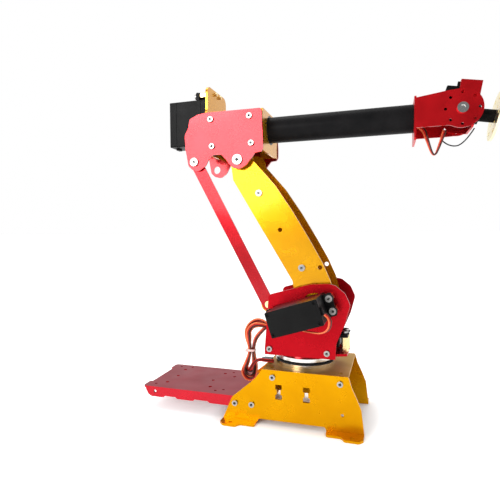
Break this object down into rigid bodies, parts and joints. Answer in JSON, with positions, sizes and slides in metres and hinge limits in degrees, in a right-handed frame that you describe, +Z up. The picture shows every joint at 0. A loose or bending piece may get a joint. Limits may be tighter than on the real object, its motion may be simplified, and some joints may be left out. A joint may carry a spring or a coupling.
{
  "type": "desktop robot arm",
  "caption": "Jointed desktop robot arm of folded painted sheet metal with hobby servos, a push-rod linkage, a turntable base and a tool flange.",
  "frame": {"origin": "on the floor, centre of the four foot holes", "axes": "+X towards the tool, +Y across towards the shoulder servo, +Z up"},
  "size_m": [0.2915, 0.1274, 0.2854],
  "materials": {
    "yellow_paint": "satin golden yellow paint",
    "red_paint": "satin red paint",
    "tray_red": "satin red paint",
    "wrist_red": "satin dark red paint",
    "screw_steel": "bright nickel plate",
    "bearing_steel": "polished steel",
    "brass": "turned brass",
    "servo_black": "moulded black",
    "horn_black": "moulded black",
    "tube_black": "black anodised",
    "rubber": "moulded",
    "lead_red": "red, orange and brown insulation",
    "tie": "translucent"
  },
  "bodies": {
    "base": {"base_side_near": "yellow_paint", "base_side_far": "yellow_paint", "base_deck": "yellow_paint", "base_screws": "screw_steel", "controller_tray": "tray_red", "bearing_race_lower": "bearing_steel", "bearing_balls": "bearing_steel", "yaw_hub": "screw_steel", "yaw_horn": "horn_black", "lead_deck": "lead_red", "lead_plug": "horn_black"},
    "turret": {"bearing_race_upper": "bearing_steel", "turntable_ring": "red_paint", "turret_floor": "red_paint", "turret_side_near": "red_paint", "turret_side_far": "red_paint", "yaw_servo": "servo_black", "shoulder_servo": "servo_black", "elbow_servo": "servo_black", "turret_posts": "brass", "turret_grommets": "rubber", "turret_screws": "screw_steel", "lead_hank": "lead_red", "lead_tie": "tie", "elbow_lead": "lead_red"},
    "lower_arm": {"arm_channel": "yellow_paint", "arm_spacers": "brass", "arm_screws": "screw_steel", "shoulder_horn": "horn_black", "shoulder_hub": "screw_steel"},
    "crank": {"elbow_horn": "horn_black", "crank_lever": "yellow_paint", "crank_pin": "brass"},
    "push_rod": {"push_rod": "red_paint"},
    "forearm": {"forearm_side_near": "red_paint", "forearm_side_far": "red_paint", "elbow_pins": "screw_steel", "rod_pin": "screw_steel", "rear_bracket": "yellow_paint", "front_bracket": "yellow_paint", "forearm_screws": "screw_steel", "roll_servo": "servo_black", "roll_grommets": "rubber", "roll_posts": "brass", "tube_bush": "horn_black"},
    "wrist_fork": {"roll_horn": "horn_black", "drive_flange": "screw_steel", "forearm_tube": "tube_black", "tube_plug": "horn_black", "wrist_fork": "wrist_red", "fork_screws": "screw_steel", "pitch_horn": "horn_black", "pivot_screw": "screw_steel", "wrist_lead": "lead_red", "wrist_loop": "lead_red"},
    "wrist": {"pitch_servo": "servo_black", "wrist_bracket": "wrist_red", "idler_pin": "screw_steel"},
    "tool": {"tool_hub": "horn_black", "tool_disc": "brass"}
  },
  "joints": [
    {"name": "base_yaw", "type": "hinge", "parent": "base", "child": "turret", "pos_m": [0.0055, 0, 0.0518], "axis": [0, 0, 1], "range_deg": [-90, 90], "deforming": ["lead_hank", "lead_tie"]},
    {"name": "shoulder", "type": "hinge", "parent": "turret", "child": "lower_arm", "pos_m": [0.0185, 0, 0.0975], "axis": [0, 1, 0], "range_deg": [-25, 60]},
    {"name": "elbow", "type": "hinge", "parent": "lower_arm", "child": "forearm", "pos_m": [-0.0465, 0, 0.219], "axis": [0, -1, 0], "range_deg": [-35, 45]},
    {"name": "crank_turn", "type": "hinge", "parent": "lower_arm", "child": "crank", "pos_m": [0.0185, 0, 0.0975], "axis": [0, -1, 0], "range_deg": [-35, 45]},
    {"name": "rod_turn", "type": "hinge", "parent": "forearm", "child": "push_rod", "pos_m": [-0.086, 0, 0.219], "axis": [0, -1, 0], "range_deg": [-45, 35]},
    {"name": "forearm_roll", "type": "hinge", "parent": "forearm", "child": "wrist_fork", "pos_m": [0, 0, 0.2471], "axis": [1, 0, 0], "range_deg": [-90, 90]},
    {"name": "wrist_pitch", "type": "hinge", "parent": "wrist_fork", "child": "wrist", "pos_m": [0.1258, 0, 0.2485], "axis": [0, 1, 0], "range_deg": [-60, 50], "deforming": ["wrist_lead", "wrist_loop"]},
    {"name": "tool_roll", "type": "hinge", "parent": "wrist", "child": "tool", "pos_m": [0.14965, 0, 0.24412], "axis": [0.9836, 0, -0.1805], "range_deg": [-150, 150]}
  ],
  "couplings": [
    {"joint": "crank_turn", "follows": "elbow", "ratio": 1},
    {"joint": "rod_turn", "follows": "elbow", "ratio": -1}
  ]
}
